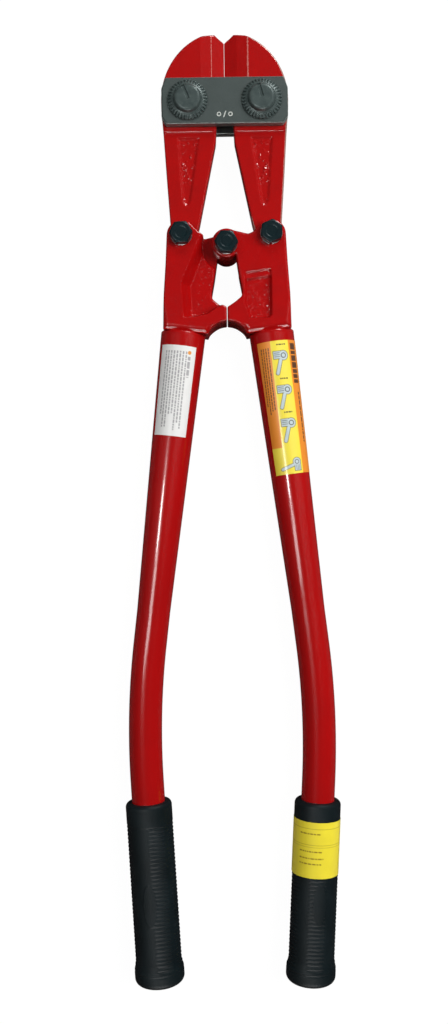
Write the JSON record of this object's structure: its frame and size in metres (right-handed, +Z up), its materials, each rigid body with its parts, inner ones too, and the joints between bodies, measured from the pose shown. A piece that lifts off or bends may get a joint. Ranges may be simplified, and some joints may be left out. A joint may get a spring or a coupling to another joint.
{
  "type": "bolt cutters",
  "caption": "Long-handled centre-cut bolt cutters: forged jaws between side plates, compound linkage, tapered tube handles with ribbed rubber grips.",
  "frame": {"origin": "middle of the tool's footprint, on the plane that its rear nuts rest on, with the tool lying on its back", "axes": "+Y along the tool from the grips to the blade tips, +Z up out of the front face, +X to the right handle"},
  "size_m": [0.1376, 0.6044, 0.0388],
  "materials": {
    "side_plate_grey": "matt phosphate grey",
    "black_oxide_steel": "satin black oxide",
    "zinc_steel": "satin zinc",
    "jaw_red": "gloss enamel over a smooth forging",
    "forging_red": "gloss enamel over a rough forging",
    "tube_red": "gloss enamel on drawn tube",
    "grip_rubber": "fine ribbed moulding",
    "white_label": "printed film",
    "yellow_label": "printed film",
    "yellow_band": "printed band"
  },
  "bodies": {
    "head": {"front_plate": "side_plate_grey", "rear_plate": "side_plate_grey", "left_jaw_bolt": "black_oxide_steel", "right_jaw_bolt": "black_oxide_steel", "left_jaw_washer": "zinc_steel", "right_jaw_washer": "zinc_steel", "left_jaw_nut": "black_oxide_steel", "right_jaw_nut": "black_oxide_steel"},
    "left_jaw_body": {"left_jaw": "jaw_red"},
    "right_jaw_body": {"right_jaw": "jaw_red"},
    "left_handle": {"left_handle_end": "forging_red", "left_link_bolt": "black_oxide_steel", "left_link_washer": "zinc_steel", "left_rear_washer": "zinc_steel", "left_link_nut": "black_oxide_steel", "left_tube": "tube_red", "left_grip": "grip_rubber", "left_tube_label": "white_label"},
    "right_handle": {"right_handle_end": "forging_red", "right_link_bolt": "black_oxide_steel", "centre_bolt": "black_oxide_steel", "right_link_washer": "zinc_steel", "centre_washer": "zinc_steel", "right_rear_washer": "zinc_steel", "centre_rear_washer": "zinc_steel", "right_link_nut": "black_oxide_steel", "centre_nut": "black_oxide_steel", "right_tube": "tube_red", "right_grip": "grip_rubber", "right_tube_label": "yellow_label", "grip_band": "yellow_band"}
  },
  "joints": [
    {"name": "left_handle_hinge", "type": "hinge", "parent": "left_jaw_body", "child": "left_handle", "pos_m": [-0.0283, 0.17264, 0.0192], "axis": [0, 0, 1], "range_deg": [-53, 0]},
    {"name": "right_handle_hinge", "type": "hinge", "parent": "right_jaw_body", "child": "right_handle", "pos_m": [0.0283, 0.17264, 0.0192], "axis": [0, 0, 1], "range_deg": [0, 53]},
    {"name": "left_jaw_hinge", "type": "hinge", "parent": "head", "child": "left_jaw_body", "pos_m": [-0.0233, 0.25624, 0.0192], "axis": [0, 0, 1], "range_deg": [0, 7.7]},
    {"name": "right_jaw_hinge", "type": "hinge", "parent": "head", "child": "right_jaw_body", "pos_m": [0.0233, 0.25624, 0.0192], "axis": [0, 0, 1], "range_deg": [-7.7, 0]}
  ],
  "couplings": [
    {"joint": "right_handle_hinge", "follows": "left_handle_hinge", "ratio": -1},
    {"joint": "left_jaw_hinge", "follows": "left_handle_hinge", "ratio": -0.144},
    {"joint": "right_jaw_hinge", "follows": "left_handle_hinge", "ratio": 0.144}
  ]
}
